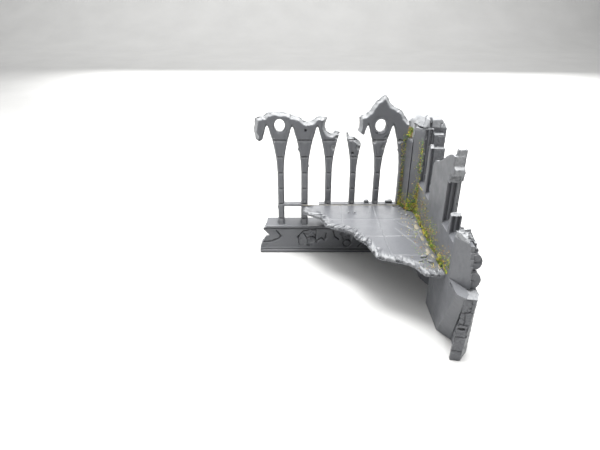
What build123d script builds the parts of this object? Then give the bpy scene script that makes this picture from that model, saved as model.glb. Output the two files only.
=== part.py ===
from build123d import *
import os
from math import sqrt

# Corner piece of a ruined gothic building for tabletop games: a glued plastic kit of
# two walls at a right angle, a broken gallery floor between them and a corner buttress.
# Millimetres. The origin is on the table, where the inner faces of the two walls would
# meet. The window wall runs along -X, the side wall along -Y, and +Z is up.

# Far enough to cut right through any wall
THROUGH = 20.0

# Storey heights
FLOOR_TOP = 50.7
FLOOR_THICK = 2.8
SIDE_BASE_TOP = 52.5
SLAB_BOTTOM = FLOOR_TOP - FLOOR_THICK

# Window wall: a parapet that carries a row of lancets
BAY = 22.0
FIRST_MULLION_X = -33.7
LANCETS = 6
LANCET_HALF = 8.5
LANCET_RADIUS = 132.0
SPRING_Z = 80.0
OCULUS_Z = 125.3
OCULUS_HALF = (4.6, 5.7)
TRACERY_DEEP = 6.6
TRACERY_BEVEL = (1.4, 0.8)
SILL_FRONT = (-1.8, 29.0)
SILL_BACK = (10.0, 33.0)
PARAPET_BACK = 9.0
PARAPET_END_X = -10.5
WALL_END_X = -9.5
RAIL_Z = (48.9, 51.2)
RAIL_Y = (0.5, 6.6)
WIDE_MULLION_EXTRA = 0.8
BESIDE_WIDE_MULLION = (3, 4)
OCULUS_MULLIONS = (0, 4)
GAP_DEPTH = 3.5
RUBBLE_ON_RAIL = ((-41.5, 5.0), (-20.5, 8.0))

# Side wall
SIDE_THICK = 7.5
TRIM_OUT = 10.5
TRIM_STEP = 1.5
SIDE_START_Y = -15.6
BOARD_BACK_Y = -84.0
SIDE_SILL_Z = 79.3
SILL_RISE = 2.7
SLIM_MULLION = 3.2
STUB_X = (2.2, 8.2)
SIDE_OPENINGS = ((-18.0, -35.5), (-41.5, -53.5), (-94.0, -108.3), (-112.5, -124.5))
BASE_INNER_X = 8.0
BASE_OUTER_X = 15.0
PIER_START_Y = -130.0
TRIM_END_Y = -131.0
WALL_END_Y = -143.0
END_STUB = ((-101.2, -96.6), (125.0, 137.0))
PLINTH = (1.2, 4.2)

# Stones on the outside of the broken end
STONE_BEDS = ((52.5, 66.0), (66.0, 78.5))
STONE_FLAT_X = 12.5
STONES_BACK_Y = -118.0

# Corner
BUTTRESS_OUT = 19.0
CAP_Z = 128.0
CAP_TOP = 134.5
SHOULDER_TOP = 131.0
POST_LEFT_TOP = 116.0
POST_RIGHT_TOP = 127.0
LEAF_OUT = 17.0
LEAF_STEPS = ((-24.5, 113.3), (-20.0, 123.7))

# Dressing
TUFT = 3.0
TUFT_STEP = 7.4
GLUE_BEADS = ((-5.2, -45.0, 10.0), (-5.0, -66.0, 7.0), (-5.0, -86.0, 9.0))
GLUE_HIGH = 0.9


def face_from(points):
    """A flat face from corner points in the XY plane of whatever plane is in use."""
    return make_face(Polyline(*points, close=True))


def along_y(points, y_low, y_high):
    """A solid from an XZ outline, between two Y planes."""
    plane = Plane(origin=(0, y_high, 0), x_dir=(1, 0, 0), z_dir=(0, -1, 0))
    return extrude(plane * face_from(points), amount=y_high - y_low)


def along_x(points, x_low, x_high):
    """A solid from a YZ outline, between two X planes."""
    plane = Plane(origin=(x_low, 0, 0), x_dir=(0, 1, 0), z_dir=(1, 0, 0))
    return extrude(plane * face_from(points), amount=x_high - x_low)


def along_z(points, z_low, z_high):
    """A solid from a plan outline, between two heights."""
    return extrude(Plane.XY.offset(z_low) * face_from(points), amount=z_high - z_low)


def between(low, low_z, high, high_z):
    """A solid with straight sides between two plan outlines of the same count."""
    bottom = Plane.XY.offset(low_z) * face_from(low)
    top = Plane.XY.offset(high_z) * face_from(high)
    return loft([bottom, top], ruled=True)


def block(x, y, z):
    """A box from its low and high values on each axis."""
    size = (x[1] - x[0], y[1] - y[0], z[1] - z[0])
    middle = ((x[0] + x[1]) / 2, (y[0] + y[1]) / 2, (z[0] + z[1]) / 2)
    return Pos(*middle) * Box(*size)


def mullion_x(index):
    """Middle of a mullion, 0 beside the corner and 4 at the broken end."""
    return FIRST_MULLION_X - BAY * index


def lancet_x(index):
    """Middle of a lancet, 0 beside the corner and 5 at the broken end."""
    return mullion_x(index) + BAY / 2


def lancet_cutter(index, grow):
    """A pointed opening in the window wall, wider by grow on each side."""
    half = LANCET_HALF + grow
    if index in BESIDE_WIDE_MULLION:
        half -= WIDE_MULLION_EXTRA / 2
    radius = LANCET_RADIUS
    apex = SPRING_Z + sqrt(radius**2 - (radius - half) ** 2)
    middle_z = (SPRING_Z + apex) / 2
    bow = radius - sqrt(radius**2 - (middle_z - SPRING_Z) ** 2)
    x = lancet_x(index)
    foot = SILL_FRONT[1] - 1
    left = ThreePointArc((x - half, SPRING_Z), (x - half + bow, middle_z), (x, apex))
    right = ThreePointArc((x, apex), (x + half - bow, middle_z), (x + half, SPRING_Z))
    outline = [
        Line((x - half, foot), (x - half, SPRING_Z)),
        left,
        right,
        Line((x + half, SPRING_Z), (x + half, foot)),
        Line((x + half, foot), (x - half, foot)),
    ]
    plane = Plane(origin=(0, THROUGH, 0), x_dir=(1, 0, 0), z_dir=(0, -1, 0))
    return extrude(plane * make_face(outline), amount=2 * THROUGH)


def oculus_cutter(index, grow):
    """An upright oval hole above a mullion."""
    middle = (mullion_x(index), THROUGH, OCULUS_Z)
    plane = Plane(origin=middle, x_dir=(1, 0, 0), z_dir=(0, -1, 0))
    oval = Ellipse(OCULUS_HALF[0] + grow, OCULUS_HALF[1] + grow)
    return extrude(plane * oval, amount=2 * THROUGH)


def left_head():
    """Broken outline of the three mullions that still carry their arches."""
    return [
        (-132.7, 27.5),
        (-132.7, 119),
        (-136.5, 112.5),
        (-139.9, 111.4),
        (-142.5, 112.6),
        (-144, 121.9),
        (-142.7, 131.3),
        (-140, 132.6),
        (-134.9, 133.4),
        (-133.1, 135.8),
        (-129.6, 137.2),
        (-124.5, 137.4),
        (-122, 136.6),
        (-118.5, 137),
        (-114.2, 135.6),
        (-107.4, 133),
        (-104, 132.2),
        (-101.4, 129.8),
        (-97.9, 128.2),
        (-94.5, 128.8),
        (-89.4, 132.4),
        (-86.8, 133.2),
        (-80.3, 132.4),
        (-82, 127.3),
        (-82.3, 123.8),
        (-80.5, 120.2),
        (-77.4, 118),
        (-74.8, 118.5),
        (-72.5, 120.7),
        (-69.2, 119.5),
        (-70.4, 115),
        (-66.7, 110),
        (-66.7, 27.5),
    ]


def stub_mullion():
    """Broken outline of the mullion that stands alone."""
    return [
        (-66.7, 27.5),
        (-66.7, 110),
        (-62.9, 115),
        (-62.6, 121),
        (-61.4, 116.5),
        (-60.2, 115.2),
        (-56.7, 114.9),
        (-53.1, 112.4),
        (-50.3, 109.5),
        (-49.8, 106),
        (-44.7, 100),
        (-44.7, 27.5),
    ]


def right_head():
    """Broken outline of the arch beside the corner, with the peak of the gable."""
    return [
        (-44.7, 27.5),
        (-44.7, 118.5),
        (-47.6, 116.7),
        (-53.6, 120.7),
        (-52, 123.8),
        (-52.5, 132.5),
        (-50.9, 133.8),
        (-47.5, 134.7),
        (-43.5, 138.5),
        (-40.4, 143.6),
        (-38.1, 146.6),
        (-35.7, 148.3),
        (-33.4, 150.7),
        (-30.9, 151.2),
        (-29, 148.7),
        (-27, 144.9),
        (-21.5, 140.3),
        (-18, 139),
        (-15.2, 136.9),
        (-13.1, 132.6),
        (WALL_END_X, 128.5),
        (WALL_END_X, 27.5),
    ]


def tracery_layer(y_low, y_high, grow):
    """One layer of mullions and broken arches."""
    layer = along_y(left_head(), y_low, y_high)
    layer += along_y(stub_mullion(), y_low, y_high)
    layer += along_y(right_head(), y_low, y_high)
    for index in range(LANCETS):
        layer -= lancet_cutter(index, grow)
    for index in OCULUS_MULLIONS:
        layer -= oculus_cutter(index, grow)
    return layer


def parapet():
    """The low wall under the lancets, with plinth, string courses and sloping sill."""
    toe, toe_high = PLINTH
    front = [(-toe - 0.3, 0), (-toe - 0.3, 2.4), (-0.9, 2.8), (-0.9, toe_high)]
    front += [(-0.3, toe_high + 0.4), (-0.3, 26), (-1.8, 27.4), SILL_FRONT]
    back = [SILL_BACK, (SILL_BACK[0], 30.5), (PARAPET_BACK, 29.3)]
    back += [(PARAPET_BACK, toe_high + 0.6), (SILL_BACK[0] + 0.5, toe_high - 0.6)]
    back += [(SILL_BACK[0] + 0.5, 0)]
    whole = along_x(front + back, -150, PARAPET_END_X)
    broken_end = [
        (-143, -1),
        (-142.7, 6.3),
        (-139.8, 12.6),
        (-137.8, 16.4),
        (-132.8, 18.2),
        (-136.4, 21.2),
        (-139.2, 24.4),
        (-138.8, 26.4),
        (-136.2, 28.6),
        (-134.6, 35),
        (0, 35),
        (0, -1),
    ]
    gap = [(-150, 8.5), (-140.5, 9.5), (-134, 15.5), (-132.6, 20), (-134.8, 27.5)]
    gap += [(-150, 27.5)]
    ended = whole & along_y(broken_end, -THROUGH, THROUGH)
    return ended - along_y(gap, GAP_DEPTH, THROUGH)


def transom_rail():
    """What is left of the cross rail, with the rubble caught on it."""
    rail = block((mullion_x(4), mullion_x(3)), RAIL_Y, RAIL_Z)
    rail += block((-86, WALL_END_X - 1), RAIL_Y, RAIL_Z)
    for x, size in RUBBLE_ON_RAIL:
        lump = [(x - size / 2, RAIL_Z[1] - 0.5), (x - size / 2.6, RAIL_Z[1] + 2.6)]
        lump += [(x + size / 3, RAIL_Z[1] + 3.2), (x + size / 2, RAIL_Z[1] - 0.5)]
        rail += along_y(lump, 2.4, RAIL_Y[1])
    return rail


def window_wall_panel():
    """Parapet, mullions and tracery, with the front arrises of the tracery cut back."""
    bevel_deep, bevel_side = TRACERY_BEVEL
    panel = tracery_layer(bevel_deep, TRACERY_DEEP, 0)
    panel += tracery_layer(0, bevel_deep, bevel_side)
    panel += transom_rail()
    panel += parapet()
    return panel


def corner_post_left():
    """The left half of the inner corner pilaster, broken off below the cap."""
    plan = [(-10.5, 0), (-6.9, -8.1), (-3.3, -4.4), (-3.3, 7.2), (-9.5, 7.2), (-9.5, 0)]
    low = POST_LEFT_TOP - 3
    post = along_z(plan, 0, low)
    stump = [(-9.4, -1), (-6.6, -6.6), (-3.5, -3.6), (-3.5, 6.6), (-9, 6.6), (-9, -0.4)]
    return post + between(plan, low, stump, POST_LEFT_TOP)


def corner_post_right():
    """The right half of the inner corner pilaster, up to the rubble cap."""
    plan = [(-6.4, -8.6), (0.6, SIDE_START_Y), (8, SIDE_START_Y), (8, -11.5)]
    plan += [(4.1, -11.5), (-2.9, -4.5)]
    return along_z(plan, 0, POST_RIGHT_TOP)


def post_shoulder():
    """The slope of rubble from the cap down to the broken top of the left post."""
    foot = [(-9.4, 7.1), (-9.3, 0.3), (-6.7, -5.6), (-3.4, -3.9), (-3.4, 7.1)]
    ridge = [(-6.4, 7.1), (-5.8, 5.6), (-4.4, 4.2), (-3.4, 3.6), (-3.4, 7.1)]
    return between(foot, POST_LEFT_TOP, ridge, SHOULDER_TOP)


def corner_buttress():
    """The outer corner mass with a stepped broken leaf and a cap of rubble."""
    core = [(-9.5, 7.2), (-3.3, 7.2), (-3.3, -4.1), (4.1, -11.5), (8, -11.5), (8, -14.5)]
    core += [(BUTTRESS_OUT, -14.5), (BUTTRESS_OUT, BUTTRESS_OUT), (-9.5, BUTTRESS_OUT)]
    body = along_z(core, 0, CAP_Z)
    for y, top in LEAF_STEPS:
        body += block((8, LEAF_OUT), (y, -14), (0, top))
    toe, toe_high = PLINTH
    outer = BUTTRESS_OUT + toe
    body += block((LEAF_OUT, LEAF_OUT + toe), (LEAF_STEPS[0][0], -14), (0, toe_high))
    body += block((BUTTRESS_OUT, outer), (-14.5, outer), (0, toe_high))
    body += block((-9.5, outer), (BUTTRESS_OUT, outer), (0, toe_high))
    low = [(-9.4, 9.5), (-5.6, 3.0), (-3.9, -6.5), (-3.2, -9), (0.4, -15.8), (8, -15.4)]
    low += [(19, -14.5), (19.6, -4), (18.8, 18.6), (-9.4, 18.6)]
    high = [(0, 6), (0.5, 0), (1.5, -7), (3.5, -13.5), (8, -14.5), (15, -12.5)]
    high += [(16, -4), (14.5, 9), (1, 9)]
    body += between(low, CAP_Z, high, CAP_TOP)
    return body + post_shoulder()


def side_wall_outline():
    """Broken YZ outline of the side wall above the gallery floor."""
    return [
        (SIDE_START_Y, SLAB_BOTTOM),
        (SIDE_START_Y, CAP_Z),
        (-18, CAP_Z),
        (-18, 100),
        (-35.5, 100),
        (-35.8, 119),
        (-37.5, 121),
        (-41, 118.6),
        (-41.5, 100),
        (-53.5, 100),
        (-53.6, 111),
        (-59, 115.5),
        (-66, 117),
        (-75, 121.5),
        (-84, 127.5),
        (-93.6, 132),
        (-101.8, 132.6),
        (-102.2, 125.6),
        (-105.4, 124.6),
        (-105.8, 119.6),
        (-97.6, 118.2),
        (-98.4, 112),
        (-94, 110),
        (-94, 95),
        (-108.3, 95),
        (-112.5, 93.8),
        (-112.5, 86),
        (-124.5, 86),
        (-124.8, 89.5),
        (-129, 89.8),
        (WALL_END_Y, 84),
        (WALL_END_Y, SIDE_BASE_TOP),
        (BOARD_BACK_Y, SIDE_BASE_TOP),
        (BOARD_BACK_Y, SLAB_BOTTOM),
    ]


def opening_cutters(grow):
    """The four lancets of the side wall, with sills that rise outwards."""
    cut = None
    for near, far in SIDE_OPENINGS:
        hole = block((-1, THROUGH), (far - grow, near + grow), (SIDE_SILL_Z, 112))
        wedge = [(0, SIDE_SILL_Z), (SIDE_THICK, SIDE_SILL_Z + SILL_RISE)]
        wedge += [(THROUGH, SIDE_SILL_Z + SILL_RISE), (THROUGH, SIDE_SILL_Z - 1)]
        wedge += [(0, SIDE_SILL_Z - 1)]
        hole -= along_y(wedge, far - grow - 1, near + grow + 1)
        cut = hole if cut is None else cut + hole
    return cut


def side_wall_trim():
    """The raised course on the outer face, set back from every broken edge."""
    strips = [(-55.0, -66.0, 114.5), (-66.0, -94.0 - TRIM_STEP, 121.0)]
    strips += [(-26.5, -55.0, 79.0), (-94.0 - TRIM_STEP, -103.5, 108.5)]
    strips += [(-103.5, -113.0, 84.0), (-113.0, TRIM_END_Y, 84.0)]
    trim = None
    for near, far, top in strips:
        piece = block((SIDE_THICK, TRIM_OUT), (far, near), (SIDE_BASE_TOP, top))
        trim = piece if trim is None else trim + piece
    return trim - opening_cutters(TRIM_STEP)


def side_wall_window_panel():
    """The upper side wall: two broken windows, a solid pier and an oblique end."""
    wall = along_x(side_wall_outline(), 0, SIDE_THICK) - opening_cutters(0)
    wall += side_wall_trim()
    wall += block(STUB_X, *END_STUB)
    near, far = SIDE_OPENINGS[0][1], SIDE_OPENINGS[1][0]
    wall -= block((SLIM_MULLION, THROUGH), (far, near), (SIDE_SILL_Z + SILL_RISE, CAP_Z))
    toe = [(SIDE_THICK, TRIM_END_Y), (TRIM_OUT - 1, TRIM_END_Y)]
    toe += [(TRIM_OUT - 1, WALL_END_Y), (SIDE_THICK, WALL_END_Y)]
    wall += along_z(toe, SIDE_BASE_TOP, 80)
    beyond_end = [(-1, -125.4), (9.8, -142.6), (THROUGH, -142.6), (THROUGH, -160)]
    beyond_end += [(-1, -160)]
    wall -= along_z(beyond_end, 40, 130)
    worn_low = [(9.9, -131.5), (THROUGH, -131.5), (THROUGH, -160), (9.9, -160)]
    worn_high = [(5.4, -131.5), (THROUGH, -131.5), (THROUGH, -160), (5.4, -160)]
    wall -= between(worn_low, 56, worn_high, 100)
    cap_low = [(1.2, -124.6), (1.2, -126.6), (4, -130.6), (12, -131.4), (12.4, -122)]
    cap_low += [(TRIM_OUT, -122), (TRIM_OUT, -124.6)]
    cap_high = [(2, -124.8), (2, -126), (4.6, -128), (9, -128), (10, -122.6)]
    cap_high += [(9.8, -122.8), (9.4, -124.8)]
    return wall + between(cap_low, 84.5, cap_high, 91.5)


def side_wall_base_panel():
    """The outer leaf under the side wall, with the inner pier that props it."""
    front, back = LEAF_STEPS[0][0], PIER_START_Y
    panel = block((BASE_INNER_X, BASE_OUTER_X), (back, front), (0, SIDE_BASE_TOP))
    toe, toe_high = PLINTH
    panel += block((BASE_OUTER_X, BASE_OUTER_X + toe), (back, front), (0, toe_high))
    course = (SIDE_BASE_TOP - 4, SIDE_BASE_TOP - 1)
    panel += block((BASE_OUTER_X, BASE_OUTER_X + toe), (back, front), course)
    prop = [(1.6, SIDE_START_Y), (2.2, -30), (2.8, -47), (BASE_INNER_X, -59)]
    prop += [(BASE_INNER_X, SIDE_START_Y)]
    return panel + along_z(prop, 0, SLAB_BOTTOM)


def side_wall_inner_board():
    """The smooth inner leaf, whose broken end leans out over the table."""
    x = BASE_INNER_X
    low = [(0, BOARD_BACK_Y), (0, -118.4), (x - 0.4, -129.3), (x, PIER_START_Y)]
    low += [(x, BOARD_BACK_Y)]
    high = [(0, BOARD_BACK_Y), (0, -146), (4.6, -151), (x, -146), (x, BOARD_BACK_Y)]
    return between(low, 0, high, SIDE_BASE_TOP)


def end_pier():
    """The brick pier at the front end of the side wall."""
    x = BASE_INNER_X
    low = [(x, PIER_START_Y), (x, -134.8), (1.2, -151.4), (7.9, -152.4), (15.4, -142.7)]
    low += [(15.4, PIER_START_Y)]
    high = [(x, PIER_START_Y), (x, -146), (4.6, -151), (11.7, -152.6), (15, -146)]
    high += [(15.4, PIER_START_Y)]
    return between(low, 0, high, SIDE_BASE_TOP)


def buttress_stones():
    """Rounded stones of the broken outer buttress, one on the other."""
    stones = []
    lower, upper = STONE_BEDS
    flat = STONE_FLAT_X
    for (low, high), out, front in ((lower, 16.6, -141.0), (upper, 16.4, -138.5)):
        middle = (low + high) / 2
        outline = Line((TRIM_OUT, low), (flat, low))
        outline += ThreePointArc((flat, low), (out, middle), (flat, high))
        outline += Polyline((flat, high), (TRIM_OUT, high), (TRIM_OUT, low))
        plane = Plane(origin=(0, STONES_BACK_Y, 0), x_dir=(1, 0, 0), z_dir=(0, -1, 0))
        stones.append(extrude(plane * make_face(outline), amount=STONES_BACK_Y - front))
    steps = block((TRIM_OUT, 13.2), (-136.5, STONES_BACK_Y), (upper[1], 81.3))
    steps += block((TRIM_OUT, 12.4), (-134, STONES_BACK_Y), (81.3, 84.5))
    bond = block((TRIM_OUT - 1, TRIM_OUT), (-140.6, TRIM_END_Y - 0.1), lower)
    bond += block((TRIM_OUT - 1, TRIM_OUT), (-138.2, TRIM_END_Y - 0.1), upper)
    return stones[0] + stones[1] + steps + bond


def floor_outline():
    """Broken edge of the gallery floor, from the window wall round to the side wall."""
    return [
        (-10.5, 0),
        (-101, 0),
        (-101.6, -15),
        (-87, -26),
        (-82, -41),
        (-61, -54),
        (-57.5, -64),
        (-51, -72.5),
        (-48, -83.5),
        (-45, -94.5),
        (-36.5, -98),
        (-28, -101),
        (-21, -105),
        (-14.5, -118),
        (-5, -120),
        (0, -119.5),
        (0, -15),
        (-6.4, -8.6),
        (-6.9, -8.1),
    ]


def gallery_floor():
    """The floor plate, which the walls carry on two sides."""
    return along_z(floor_outline(), SLAB_BOTTOM, FLOOR_TOP)


def stone(x, y, size, high):
    """A loose stone with a flat underside, lying on the floor."""
    low = [(x - size, y - size * 0.6), (x + size * 0.7, y - size), (x + size, y + size * 0.5)]
    low += [(x - size * 0.4, y + size)]
    top = [(x + (p[0] - x) * 0.6, y + (p[1] - y) * 0.6) for p in low]
    return between(low, FLOOR_TOP, top, FLOOR_TOP + high)


def loose_stones():
    """Pieces of rubble that lie on the gallery floor."""
    places = [(-60, -16.5, 1.6, 1.2), (-54.5, -17, 1.3, 1.0), (-14, -20.5, 1.7, 1.4)]
    places += [(-8.8, -23, 1.8, 1.5), (-5, -28.5, 1.4, 1.3), (-13.5, -101, 1.7, 1.1)]
    places += [(-10.5, -94.5, 2.6, 1.7), (-6.8, -102.5, 2.4, 1.7)]
    return Compound(children=[stone(*place) for place in places])


def tuft(x, y, z, high):
    """A clump of flock: a small blunt cone of fibre."""
    cone = Cone(TUFT / 2, TUFT / 5, high, align=(Align.CENTER, Align.CENTER, Align.MIN))
    return Pos(x, y, z) * cone


def grass_tufts():
    """Flock along the foot of the side wall, in the corner and on the broken post."""
    clumps = []
    for step in range(14):
        y = -18.5 - TUFT_STEP * step
        clumps.append(tuft(-TUFT / 2, y, FLOOR_TOP, 3.4 - 0.1 * step))
    for x, y in ((-8.2, -10.6), (-4.4, -13.6), (-12.6, -3.2)):
        clumps.append(tuft(x, y, FLOOR_TOP, 6))
    clumps.append(tuft(-6.9, -4.2, POST_LEFT_TOP, 7) - post_shoulder())
    return Compound(children=clumps)


def glue_beads():
    """Dried glue that squeezed out onto the floor beside the side wall."""
    beads = []
    for x, y, long in GLUE_BEADS:
        body = [(x - 1.6, y - long / 2), (x + 1.2, y - long / 2 + 1), (x + 1.6, y + long / 2)]
        body += [(x - 0.9, y + long / 2 - 1)]
        top = [(x + (p[0] - x) * 0.5, y + (p[1] - y) * 0.7) for p in body]
        beads.append(between(body, FLOOR_TOP, top, FLOOR_TOP + GLUE_HIGH))
    return Compound(children=beads)


PARTS = {
    "window_wall_panel": window_wall_panel,
    "corner_post_left": corner_post_left,
    "corner_post_right": corner_post_right,
    "corner_buttress": corner_buttress,
    "side_wall_window_panel": side_wall_window_panel,
    "side_wall_base_panel": side_wall_base_panel,
    "side_wall_inner_board": side_wall_inner_board,
    "end_pier": end_pier,
    "buttress_stones": buttress_stones,
    "gallery_floor": gallery_floor,
    "loose_stones": loose_stones,
    "grass_tufts": grass_tufts,
    "glue_beads": glue_beads,
}

os.makedirs("parts", exist_ok=True)
for name, make in PARTS.items():
    export_step(make(), f"parts/{name}.step")
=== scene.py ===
import math

import bmesh
import bpy
import numpy as np
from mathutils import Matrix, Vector
from mathutils.kdtree import KDTree


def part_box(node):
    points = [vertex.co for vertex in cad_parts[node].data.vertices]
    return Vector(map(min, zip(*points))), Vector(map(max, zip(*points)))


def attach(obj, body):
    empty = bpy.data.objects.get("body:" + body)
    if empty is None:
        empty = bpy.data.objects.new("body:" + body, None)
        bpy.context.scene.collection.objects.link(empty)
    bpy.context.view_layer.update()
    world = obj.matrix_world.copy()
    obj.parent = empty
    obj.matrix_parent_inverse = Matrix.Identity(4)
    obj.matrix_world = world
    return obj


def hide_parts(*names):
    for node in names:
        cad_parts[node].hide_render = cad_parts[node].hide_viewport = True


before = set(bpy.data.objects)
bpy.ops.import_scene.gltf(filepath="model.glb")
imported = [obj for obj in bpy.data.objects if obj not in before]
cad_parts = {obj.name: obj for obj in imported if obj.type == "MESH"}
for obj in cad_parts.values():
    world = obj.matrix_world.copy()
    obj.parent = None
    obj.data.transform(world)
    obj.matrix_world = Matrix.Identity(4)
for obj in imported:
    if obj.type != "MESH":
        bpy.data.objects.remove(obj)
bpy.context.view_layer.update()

# Every length below is in millimetres in the CAD frame, and is turned to metres by MM.
MM = 0.001
SEED = 4127

# Edges sharper than these angles in degrees stay sharp
CARVED_CREASE = 34
LOOSE_CREASE = 40

# The window wall
BAY = 22.0
FIRST_MULLION = -33.7
LANCET_HALF = 8.5
LANCET_RADIUS = 132.0
SPRING = 80.0
OCULUS_Z = 125.3
OCULUS_HALF = (4.6, 5.7)
COURSE = 15.2
FIRST_COURSE = 36.6
WALL_DEEP = 6.6
SILL_TOP = 33.0
LANCETS = 6
OCULUS_MULLIONS = (0, 4)
JOINT_ROWS = 6
CHIPS_FROM = 96.0
TOPS_FROM = 98.0
JOINTS_TO = 116.0
ARCH_LINES = (84, 122)
RENDER = (5.4, 27.0)
PARAPET_TO = 30
BROKEN_END_X = -131
RAIL = (48, 55)
RAIL_END_X = -100.5
RAIL_RUBBLE_FROM = 51.4
POST_X = -10.2

# Knocks in its stones (x, z, size) and nubs left on the flanks of its mullions (x, z)
KNOCKS = [(-57.2, 101.0, 1.5), (-99.0, 121.5, 1.3), (-36.5, 119.0, 1.0)]
NUBS = [(-105.0, 103.5), (-125.0, 47.5), (-16.0, 103.0), (-97.5, 88.0)]

# The render on the front of its parapet, in (x, z): what has fallen off, and the cracks
FALLEN_PATCH = [(-106, 16.4), (-101, 23.2), (-89.2, 24.3), (-88.3, 12), (-94, 6.8), (-105, 7.2)]
SCAR = [(-66, 22), (-59, 23), (-53, 19), (-54, 12), (-62, 13.5)]
FOOT_SCAR = [(-141, 10.5), (-134, 8), (-130, 5.6), (-140.5, 5.6)]
SUNK_END = [(-142, 27), (-127, 24.5), (-122.3, 17.5), (-124.3, 15), (-133, 11.5), (-142, 10)]
CRACKS = [
    [(-127, 24.3), (-122.2, 17.5), (-124.2, 15.2), (-132.1, 12.0), (-139, 11)],
    [(-88.5, 24.3), (-88.2, 11.0)],
    [(-106, 16.4), (-101, 23.2), (-89.2, 24.3)],
    [(-100, 20), (-97, 15), (-92, 17), (-89, 15)],
    [(-88, 12), (-83, 16), (-80, 13), (-78, 20)],
    [(-72, 23), (-70, 17), (-66, 14)],
    [(-47, 6), (-43, 12), (-38, 15), (-37, 22)],
    [(-24, 24), (-21, 17), (-25, 11)],
]
SCRATCH = [(-99.5, 8.2), (-94, 9.6), (-90, 11.2)]
BOSS = (-58.1, 9.8)
BOSS_RADIUS = 3.6
BACK_COURSE = 7.6
BACK_STONE = 18.0

# The outer faces of the corner and the side wall
STONE_LONG = 21.0
JOINT_HALF = 0.62
PLINTH_TOP = 5

# The corner: splits (x, y) in its cap, the cleft between the cap's lobes, heights, the leaf
CAP_SPLITS = [[(-2.1, -15.3), (1, -8), (5, 1.2)], [(1, -8), (4, -9)], [(13.2, -15), (14.8, -14)]]
CAP_CLEFT = [(5.2, -17), (5.8, -13), (6.8, -6)]
CAP_FROM = 127.0
LOW_CAP_FROM = 116.2
LEAF = (60, 126)
LEAF_Y = -14.2
LEAF_STEP = 118
POST_JOINTS = (97.0, 66.5, 82.0)

# The side wall: (y, half width) of the jambs of its openings, its reveals and its broken end
JAMBS = [(-18, 0.5), (-35.5, 0.6), (-41.5, 0.5), (-53.5, 0.6), (-94, 0.5), (-112.5, 0.4)]
OUTLINE_FROM = 84.8
REVEALS = (80, 127)
WALL_END_Y = -125
BEDDED = (52.4, 84.0)
BEDDED_Y = -131.2
BED_DEEP = 9.8
RUBBLE_FROM = 85.0
RUBBLE_Y = -121.5
BOLT_HOLE = (6.5, -125.0, 90.5)

# The base of the side wall
BASE_TOPS_FROM = 50
BOARD_END_Y = -117
PIER_FRONT_TO = 51.5
PIER_JOINTS = (8.5, 20.5, 31.0, 41.0)

# The floor, in (x, y): its slab joints, a crack and pale scrapes
FLOOR_TOP = 50.7
FLOOR_MIDDLE = np.array([-30.0, -20.0])
SLAB_JOINTS = [
    [(-66.5, 0), (-66.5, -52)],
    [(-36.5, 0), (-35.0, -60), (-33.5, -96)],
    [(-5.6, -30), (-5.0, -112)],
    [(-100, -30), (-2, -30)],
    [(-60, -62), (-2, -61)],
    [(-46, -92), (-2, -92)],
]
FLOOR_CRACK = [(-22, -32), (-17, -40), (-12, -46), (-3, -55)]
LONG_SCRAPE = [(-23.4, -47), (-17.6, -61), (-10.6, -78)]
FINE_SCRAPE = [(-15.3, -35.7), (-2.8, -68)]
GLUELESS_SEAM = (-62, -38)
RIB_STEP = 14.0

# Loose stones on the floor: ((x, y), half sizes, turn)
STONES = [
    ((-12.7, -20.6), (1.5, 1.2, 1.0), 0.3),
    ((-9.0, -22.8), (1.7, 1.3, 1.2), 1.1),
    ((-4.6, -28.2), (1.3, 1.1, 1.1), 0.7),
    ((-13.4, -101.0), (1.9, 0.9, 1.0), 0.5),
    ((-10.2, -95.2), (2.6, 1.2, 1.4), 0.2),
    ((-6.6, -102.4), (2.4, 1.3, 1.4), 2.3),
    ((-9.6, -99.0), (1.2, 0.7, 0.9), 1.0),
]
BOLTS_AT = [(-60, -16.7), (-54.6, -16.8)]

# Dried glue: (x, y, half width, half length, height) of each smear beside the side wall
SMEARS = [
    (-4.9, -45.0, 1.9, 5.2, 0.8),
    (-4.6, -66.0, 1.4, 3.6, 0.6),
    (-4.6, -86.0, 1.6, 4.6, 0.7),
    (-3.0, -53.5, 1.0, 3.0, 0.5),
    (-2.6, -93.5, 1.1, 3.2, 0.5),
    (-1.8, -109.0, 0.9, 3.8, 0.5),
    (-2.8, -75.5, 1.0, 2.6, 0.4),
    (-3.4, -36.0, 1.1, 2.2, 0.5),
    (-6.5, -90.0, 1.0, 1.6, 0.4),
]

# Profiles of turned shapes: (radius, height) from the rim to the top
BOLT = [(1.6, -0.4), (1.6, 0.15), (1.1, 0.25), (1.05, 0.85), (0.75, 1.15), (0, 1.25)]
DOME = [
    (1.0, -0.35),
    (0.97, 0.08),
    (0.86, 0.32),
    (0.66, 0.58),
    (0.4, 0.76),
    (0.15, 0.84),
    (0, 0.85),
]

# Static grass: patches of thin dusting on the side wall (y, z, spread along, spread up)
DUSTED = [
    (-118, 60, 5.5, 6.0),
    (-108, 56, 6.0, 3.0),
    (-30, 56, 9.0, 4.0),
    (-62, 57, 10.0, 4.5),
    (-90, 55, 9.0, 3.0),
    (-46, 66, 9.0, 6.0),
    (-24, 84, 4.0, 12.0),
    (-75, 62, 8.0, 6.0),
]
FIBRE_SPREAD = 0.9
FIBRE_SIDES = 3
FIBRE_RINGS = [(0.0, 1.0), (0.55, 0.85), (1.0, 0.35)]


# ------------ noise and patterns

CELLS = 32


def table(seed, width=1):
    """A periodic lattice of random values from 0 to 1."""
    return np.random.default_rng(SEED + seed).random((CELLS, CELLS, CELLS, width))


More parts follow.
